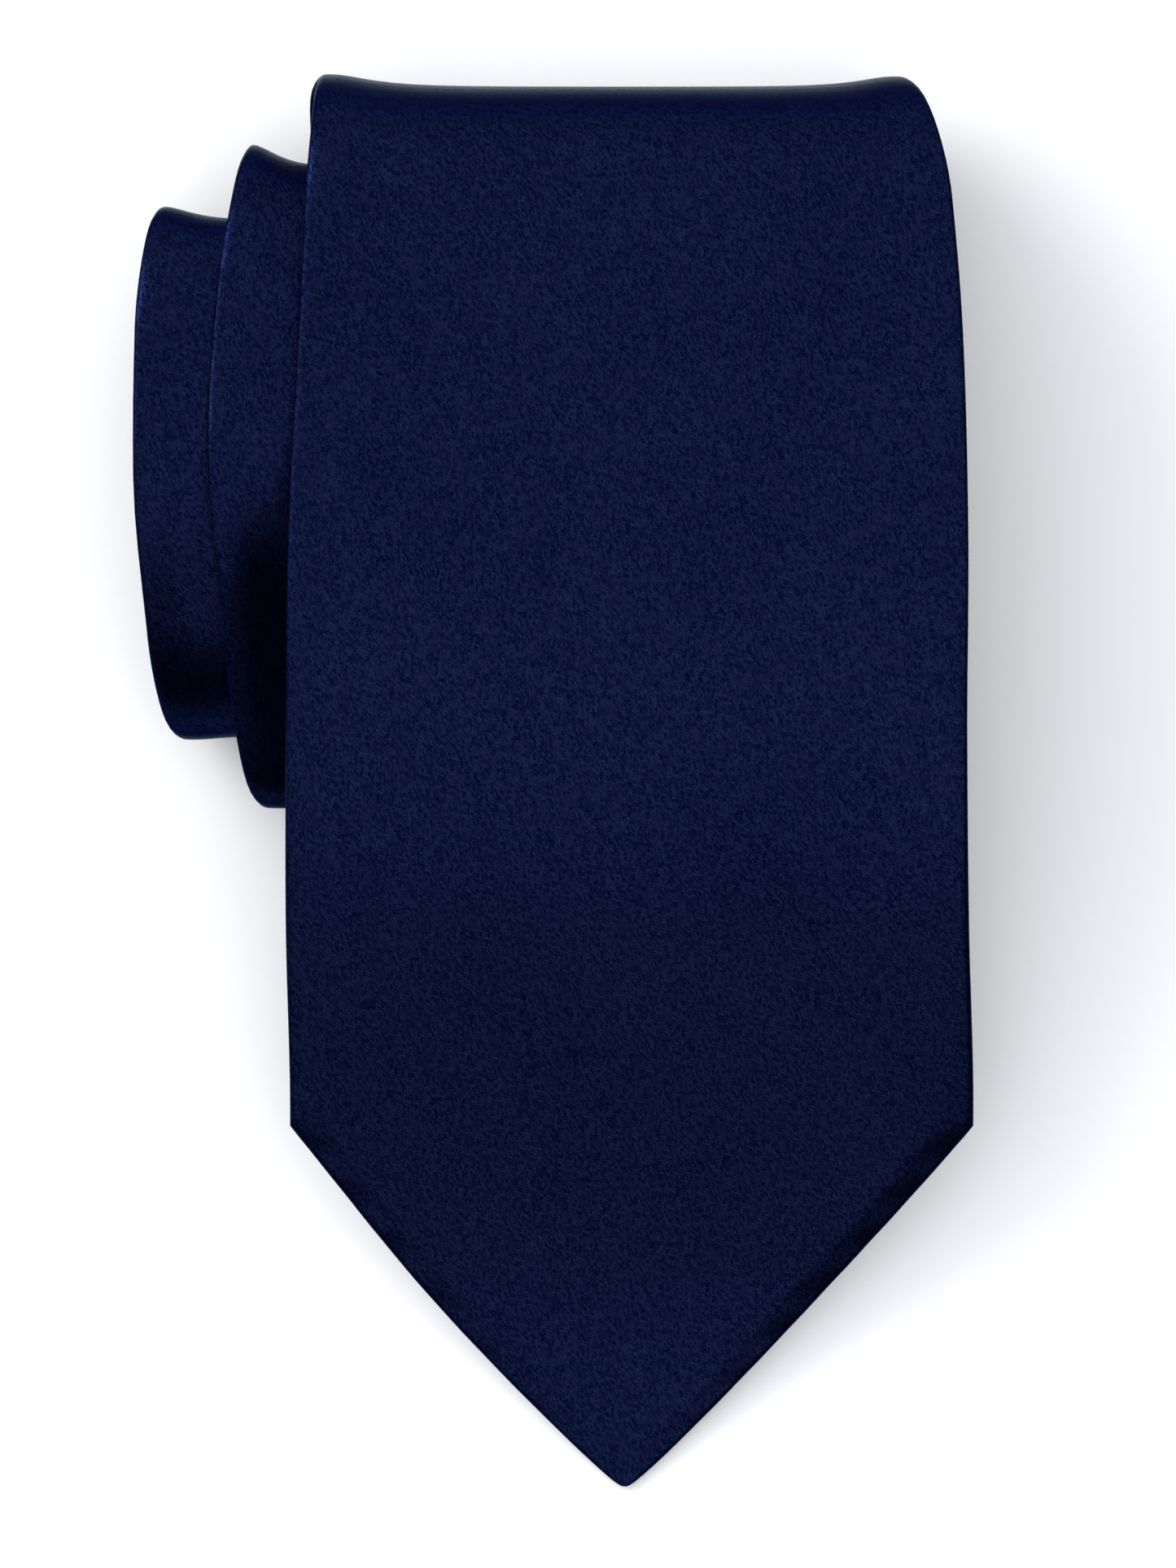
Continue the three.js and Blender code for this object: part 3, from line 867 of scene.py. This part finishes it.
# A tree that sets thread stitches along a path, with the path's own outward direction.
def stitchTree():
    tree = bpy.data.node_groups.new("threadStitches", "GeometryNodeTree")
    sockets = [
        ("Path", "NodeSocketGeometry", None), ("Spacing", "NodeSocketFloat", 0.008),
        ("Stitch Length", "NodeSocketFloat", 0.003), ("Thread", "NodeSocketFloat", 0.00018),
        ("Lean", "NodeSocketFloat", 0.0), ("Sway", "NodeSocketFloat", 0.1), ("Seed", "NodeSocketInt", 3),
        ("Material", "NodeSocketMaterial", None),
    ]
    for name, kind, value in sockets:
        made = tree.interface.new_socket(name, in_out="INPUT", socket_type=kind)
        if value is not None:
            made.default_value = value
    tree.interface.new_socket("Stitches", in_out="OUTPUT", socket_type="NodeSocketGeometry")
    start = tree.nodes.new("NodeGroupInput")

    def given(name):
        return Sock(tree, start.outputs[name])

    root = Sock(tree)
    curve = root.node("GeometryNodeMeshToCurve", None, {"Mesh": given("Path")})
    spaced = root.node("GeometryNodeResampleCurve", {"mode": "LENGTH"}, {
        "Curve": curve, "Length": given("Spacing")})
    outward = root.node("GeometryNodeInputNamedAttribute", {"data_type": "FLOAT_VECTOR"}, {"Name": "outward"})
    tangent = root.node("GeometryNodeInputTangent")
    facing = root.node("FunctionNodeAlignRotationToVector", {"axis": "Z"}, {"Vector": outward})
    turned = root.node("FunctionNodeAlignRotationToVector", {"axis": "X", "pivot_axis": "Z"}, {
        "Rotation": facing, "Vector": tangent})
    sway = root.node("FunctionNodeRandomValue", {"data_type": "FLOAT"}, {
        2: given("Sway") * -1, 3: given("Sway"), "Seed": given("Seed")}, output=1)
    leant = root.node("ShaderNodeCombineXYZ", None, {"Z": given("Lean") + sway})
    spin = root.node("FunctionNodeEulerToRotation", None, {"Euler": leant})
    turned = root.node("FunctionNodeRotateRotation", {"rotation_space": "LOCAL"}, {
        "Rotation": turned, "Rotate By": spin})
    bead = root.node("GeometryNodeMeshUVSphere", None, {"Segments": 8, "Rings": 7, "Radius": 0.5})
    shape = root.node("ShaderNodeCombineXYZ", None, {
        "X": given("Stitch Length"), "Y": given("Thread"), "Z": given("Thread") * 0.8})
    bead = root.node("GeometryNodeTransform", None, {"Geometry": bead, "Scale": shape})
    placed = root.node("GeometryNodeInstanceOnPoints", None, {
        "Points": spaced, "Instance": bead, "Rotation": turned})
    real = root.node("GeometryNodeRealizeInstances", None, {"Geometry": placed})
    smooth = root.node("GeometryNodeSetShadeSmooth", None, {"Geometry": real})
    painted = root.node("GeometryNodeSetMaterial", None, {"Geometry": smooth, "Material": given("Material")})
    root.node("NodeGroupOutput", None, {"Stitches": painted})
    return tree


threadStitches = stitchTree()


# Stitches along a path of (s, u, w) places.
def stitches(name, path, spacing, length, thread=0.00018, lean=0.0, sway=0.08, seed=3):
    s, u, w = (np.array(values, float) for values in zip(*path))
    points = place(s, u, w)
    ny, nz = read("ny", s), read("nz", s)
    mesh = bpy.data.meshes.new(name)
    mesh.from_pydata(points.tolist(), [(i, i + 1) for i in range(len(s) - 1)], [])
    layer = mesh.attributes.new("outward", "FLOAT_VECTOR", "POINT")
    layer.data.foreach_set("vector", np.column_stack([0 * ny, -ny, -nz]).astype(np.float32).ravel())
    piece = bpy.data.objects.new(name, mesh)
    bpy.context.scene.collection.objects.link(piece)
    modifier = piece.modifiers.new("stitches", "NODES")
    modifier.node_group = threadStitches
    values = {"Spacing": spacing, "Stitch Length": length, "Thread": thread, "Lean": lean, "Sway": sway,
              "Seed": seed, "Material": navyThread}
    for socket in threadStitches.interface.items_tree:
        if socket.name in values:
            modifier[socket.identifier] = values[socket.name]
    bpy.context.view_layer.update()
    graph = bpy.context.evaluated_depsgraph_get()
    plain = bpy.data.meshes.new_from_object(piece.evaluated_get(graph))
    piece.modifiers.clear()
    piece.data = plain
    bpy.data.meshes.remove(mesh)
    return piece


def alongPath(start, end, u, w, count=60):
    return [(s, u, w) for s in np.linspace(start, end, count)]


def acrossPath(s, half, w, count):
    return [(s, u, w) for u in np.linspace(-half, half, count)]


slip = {
    "spacing": 0.0085,
    "length": 0.0032,
    "lean": math.radians(38),
    "line": -cloth["lap"] + 0.0002,
    "height": -roll["thickness"] / 2 - 0.00002,
    "fromTack": 0.004,          # where it starts and stops, from the tacks
    "toTack": 0.003,
}


def slipStitches(name, start, end, count=60):
    path = alongPath(start, end, slip["line"], slip["height"], count)
    return stitches(name, path, slip["spacing"], slip["length"], lean=slip["lean"])


bladeSlip = slipStitches("blade_slip_stitches", cloth["tack"] + slip["fromTack"], atTurn(-0.25))
outerSlip = slipStitches("outer_turn_slip_stitches", farFoldEnd, crossStart, 200)
coreSlip = slipStitches("core_slip_stitches", crossEnd, cloth["tailTack"] - slip["toTack"], 900)

tack = {
    "half": 0.0045,
    "spacing": 0.00024,
    "lean": math.radians(78),
    "sway": 0.12,
}


def barTack(name, at, length, thread):
    path = acrossPath(at, tack["half"], backFace, 8)
    return stitches(name, path, tack["spacing"], length, thread, lean=tack["lean"], sway=tack["sway"])


bladeTack = barTack("blade_bar_tack_threads", cloth["tack"], 0.0021, 0.00024)
tailTack = barTack("tail_bar_tack_threads", cloth["tailTack"], 0.0019, 0.00022)

# Stitches along the ends of labels and across seams. A trio is their spacing, length and thread.
ends = {
    "inset": 0.0006,
    "lean": math.radians(62),
    "label": (0.0011, 0.0016, 0.0002),
    "keeper": (0.0010, 0.0018, 0.0002),
    "keeperDepth": 0.0003,
    "care": (0.0016, 0.0013),
    "careInset": 0.0012,
    "careHalf": 0.0075,
    "careDepth": 0.00022,
    "seam": (0.0014, 0.0012, 0.00016),
    "seamHalf": 0.0140,
    "seamDepth": 0.00012,
}


# Stitches down the left and the right end of a piece on the blade's back.
def endStitches(name, run, half, w, sizes):
    start, end = run[0] + ends["inset"], run[1] - ends["inset"]
    return [stitches(name + side, alongPath(start, end, sign * half, w, 12), *sizes, lean=ends["lean"])
            for side, sign in (("left", -1), ("right", 1))]


labelStitches = endStitches("label_stitches_", labelRun, labelHalf, labelFace, ends["label"])
keeperStitches = endStitches("keeper_stitches_", keeperRun, keeperHalf, backFace - ends["keeperDepth"],
                             ends["keeper"])
carePath = acrossPath(careRun[0] + ends["careInset"], ends["careHalf"], backFace - ends["careDepth"], 8)
careStitches = stitches("care_label_stitches", carePath, *ends["care"])
seamFace = roll["thickness"] / 2 - ends["seamDepth"]
seamStitches = [stitches(name, acrossPath(s, ends["seamHalf"], seamFace, 20), *ends["seam"])
                for name, s in (("neck_seam_stitches", neckSeam), ("tail_seam_stitches", tailSeam))]


spare = {
    "steps": 40,
    "fromTack": 0.0012,
    "halfLength": 0.0042,
    "halfWidth": 0.0015,
    "height": 0.0001,
    "radius": 0.00009,
}


# The slip stitch's spare thread, a loop left loose beside the tail's tack.
def spareLoop():
    count = spare["steps"]
    angle = np.linspace(0, 2 * math.pi, count, endpoint=False)
    s = cloth["tailTack"] - spare["fromTack"] - spare["halfLength"] * (1 - np.cos(angle))
    points = place(s, spare["halfWidth"] * np.sin(angle), np.full(count, backFace - spare["height"]))
    curve = bpy.data.curves.new("spareLoop", "CURVE")
    curve.dimensions = "3D"
    curve.bevel_depth = spare["radius"]
    curve.bevel_resolution = 2
    spline = curve.splines.new("POLY")
    spline.points.add(count - 1)
    for point, at in zip(spline.points, points):
        point.co = (*at, 1)
    spline.use_cyclic_u = True
    made = bpy.data.objects.new("spareLoop", curve)
    bpy.context.scene.collection.objects.link(made)
    bpy.context.view_layer.update()
    mesh = bpy.data.meshes.new_from_object(made.evaluated_get(bpy.context.evaluated_depsgraph_get()))
    bpy.data.objects.remove(made)
    piece = bpy.data.objects.new("spare_thread_loop", mesh)
    bpy.context.scene.collection.objects.link(piece)
    mesh.materials.clear()
    mesh.materials.append(navyThread)
    mesh.polygons.foreach_set("use_smooth", np.ones(len(mesh.polygons), bool))
    return piece


spareThread = spareLoop()
print("stitches: made")


# The blade's front and interlining have their placement baked into their meshes.
for piece in (bladeFront, bladeWool):
    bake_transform(piece)

# The cross band joins the outer turn to the core. The places of its two ends are found but not used, and its pieces
# have their placement baked into their meshes.
crossFrom, crossTo = (Vector(place(np.array([s]), np.zeros(1), np.zeros(1))[0])
                      for s in (crossStart, crossEnd))
crossTo.x = crossFrom.x
for piece in (crossBand, crossWool):
    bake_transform(piece)

rides = {
    "blade": [bladeTipping, backLabel, keeper, bladeSlip, bladeTack, *labelStitches, *keeperStitches],
    "outer_turn": [outerTurn, outerWool, outerSlip],
    "core": [coreBlade, neck, tail, coreWool, tailTipping, careLabel, coreSlip, tailTack, careStitches,
             *seamStitches, spareThread],
}
for body, pieces in rides.items():
    for piece in pieces:
        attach(piece, body)

standsFor = [
    (bladeFront, "navy_satin", ["blade_shell"]),
    (outerTurn, "navy_satin", ["blade_shell_wrap"]),
    (crossBand, "navy_satin", []),
    (coreBlade, "navy_satin", ["blade_shell_core"]),
    (neck, "navy_satin", ["neck_shell"]),
    (tail, "navy_satin", ["tail_shell"]),
    (keeper, "navy_satin", ["keeper_loop"]),
    (bladeWool, "interlining_wool", ["interlining_blade"]),
    (outerWool, "interlining_wool", ["interlining_wrap"]),
    (crossWool, "interlining_wool", []),
    (coreWool, "interlining_wool", ["interlining_core"]),
    (bladeTipping, "lining_cloth", ["blade_tipping"]),
    (tailTipping, "lining_cloth", ["tail_tipping"]),
    (backLabel, "label_cloth", ["back_label"]),
    (careLabel, "care_cloth", ["care_label"]),
    (bladeSlip, "navy_thread", ["slip_stitch_blade"]),
    (outerSlip, "navy_thread", ["slip_stitch_wrap"]),
    (coreSlip, "navy_thread", ["slip_stitch_core"]),
    (bladeTack, "navy_thread", ["blade_bar_tack"]),
    (tailTack, "navy_thread", ["tail_bar_tack"]),
    (labelStitches[0], "navy_thread", ["label_stitch_left"]),
    (labelStitches[1], "navy_thread", ["label_stitch_right"]),
    (keeperStitches[0], "navy_thread", ["keeper_stitch_left"]),
    (keeperStitches[1], "navy_thread", ["keeper_stitch_right"]),
    (careStitches, "navy_thread", ["care_label_stitch"]),
    (seamStitches[0], "navy_thread", ["neck_seam_thread"]),
    (seamStitches[1], "navy_thread", ["tail_seam_thread"]),
    (spareThread, "navy_thread", ["slip_stitch_spare_loop"]),
]
for piece, slotName, nodes in standsFor:
    if nodes:
        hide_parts(*nodes)


def declareCloth(start, end):
    width = 4 * float(halfWidth(np.linspace(start, end, 60)).max()) + cloth["lap"]
    end - start
    shellArea(start, end)


for piece, start, end, under in (
    (bladeFront, 0.0, farFoldEnd, "outer_turn_cloth"),
    (outerTurn, farFoldEnd, crossStart, "floor"),
    (crossBand, crossStart, crossEnd, "outer_turn_cloth"),
    (coreBlade, crossEnd, neckSeam, "outer_turn_cloth"),
    (neck, neckSeam, tailSeam, "core_blade_cloth"),
    (tail, tailSeam, roll["tieLength"], "neck_cloth"),
):
    declareCloth(start, end)


def declareStrip(start, end, sides):
    s = np.linspace(start, end, 200)
    left, right = sides(s)
    width = float((right - left).max())
    area = float(np.mean(right - left)) * (end - start)
    end - start


for piece, (start, end), sides, held, under in (
    (bladeWool, (inside["tipGap"], farFoldEnd), interliningSides, "laid", "blade_front"),
    (outerWool, (farFoldEnd, crossStart), interliningSides, "folded", "outer_turn_cloth"),
    (crossWool, (crossStart, crossEnd), interliningSides, "laid", "cross_band_cloth"),
    (coreWool, (crossEnd, woolEnd), interliningSides, "folded", "neck_cloth"),
    (bladeTipping, bladeTippingRun, tippingSides, "laid", "blade_front"),
    (tailTipping, tailTippingRun, tippingSides, "laid", "tail_cloth"),
    (backLabel, labelRun, labelSides, "laid", "blade_front"),
    (careLabel, careRun, careSides, "laid", "tail_cloth"),
):
    declareStrip(start, end, sides)


stage = {
    "floorHalf": 3.0,
    "floorColour": (0.86, 0.86, 0.87, 1),
    "world": (0.95, 0.97, 1.0, 1),
    "worldUp": 0.9,             # weights of z, and of x and y, in how lit a direction is
    "worldSide": (-0.16, 0.31),
    "worldEdge": (0.17, 0.42),  # where the dark side ends and the bright one begins
    "worldDim": 0.03,
    "worldBright": 1.45,
    "keySize": 1.2,
    "keyPlace": (-1.1, 0.7, 0.75),
    "keyPower": 16.0,
    "fillSize": 1.4,
    "fillPlace": (0.3, -0.5, 1.4),
    "fillPower": 1.0,
}


def makeFloor():
    mesh = bpy.data.meshes.new("floor")
    r = stage["floorHalf"]
    mesh.from_pydata([(-r, -r, 0), (r, -r, 0), (r, r, 0), (-r, r, 0)], [], [(0, 1, 2, 3)])
    floor = bpy.data.objects.new("floor", mesh)
    bpy.context.scene.collection.objects.link(floor)
    material, sock = startMaterial("paleFloor")
    where = sock.node("ShaderNodeTexCoord", None, None, output=3)
    grain = noise(sock, where, 900.0, 2.0)
    colour = mixColour(sock, grain, stage["floorColour"], tuple(c * 0.985 for c in stage["floorColour"]))
    finishMaterial(sock, colour, 0.8 + 0.05 * grain, grain, 0.05, 0.0001, {"Specular IOR Level": 0.2})
    mesh.materials.append(material)


def areaLight(name, at, size, power):
    data = bpy.data.lights.new(name, "AREA")
    data.shape = "DISK"
    data.size = size
    data.energy = power
    light = bpy.data.objects.new(name, data)
    bpy.context.scene.collection.objects.link(light)
    light.location = at
    light.rotation_euler = Vector(at).to_track_quat("Z", "Y").to_euler()


# A soft light that fills the room from above and from one side, and falls off towards the other.
def makeWorld():
    world = bpy.data.worlds.new("softRoom")
    world.use_nodes = True
    world.node_tree.nodes.clear()
    sock = Sock(world.node_tree)
    where = sock.node("ShaderNodeTexCoord")
    x, y, z = sock.node("ShaderNodeSeparateXYZ", None, {0: where}, output=(0, 1, 2))
    height, side = stage["worldUp"], stage["worldSide"]
    lit = sock.node("ShaderNodeMapRange", {"interpolation_type": "SMOOTHSTEP"}, {
        "Value": height * z + side[0] * x + side[1] * y, "From Min": stage["worldEdge"][0],
        "From Max": stage["worldEdge"][1], "To Min": stage["worldDim"], "To Max": stage["worldBright"]})
    background = sock.node("ShaderNodeBackground", None, {"Color": stage["world"], "Strength": lit})
    sock.node("ShaderNodeOutputWorld", None, {"Surface": background})
    bpy.context.scene.world = world


view = {
    "height": 4.0,
    "aside": 0.0045,            # of the frame's middle from the tie's
    "frameHeight": 0.1948,      # what the frame takes in, at the level below
    "level": 0.012,
    "sensor": 36.0,
}


def makeCamera():
    data = bpy.data.cameras.new("camera")
    data.sensor_width = view["sensor"]
    data.sensor_fit = "AUTO"
    data.lens = view["sensor"] * (view["height"] - view["level"]) / view["frameHeight"]
    data.clip_end = 10
    camera = bpy.data.objects.new("camera", data)
    camera.location = (view["aside"], 0, view["height"])
    bpy.context.scene.collection.objects.link(camera)
    bpy.context.scene.camera = camera


makeFloor()
makeWorld()
bpy.context.scene.view_settings.view_transform = "Standard"     # no film curve
areaLight("keyLight", stage["keyPlace"], stage["keySize"], stage["keyPower"])
areaLight("fillLight", stage["fillPlace"], stage["fillSize"], stage["fillPower"])
makeCamera()
print("stage: set")
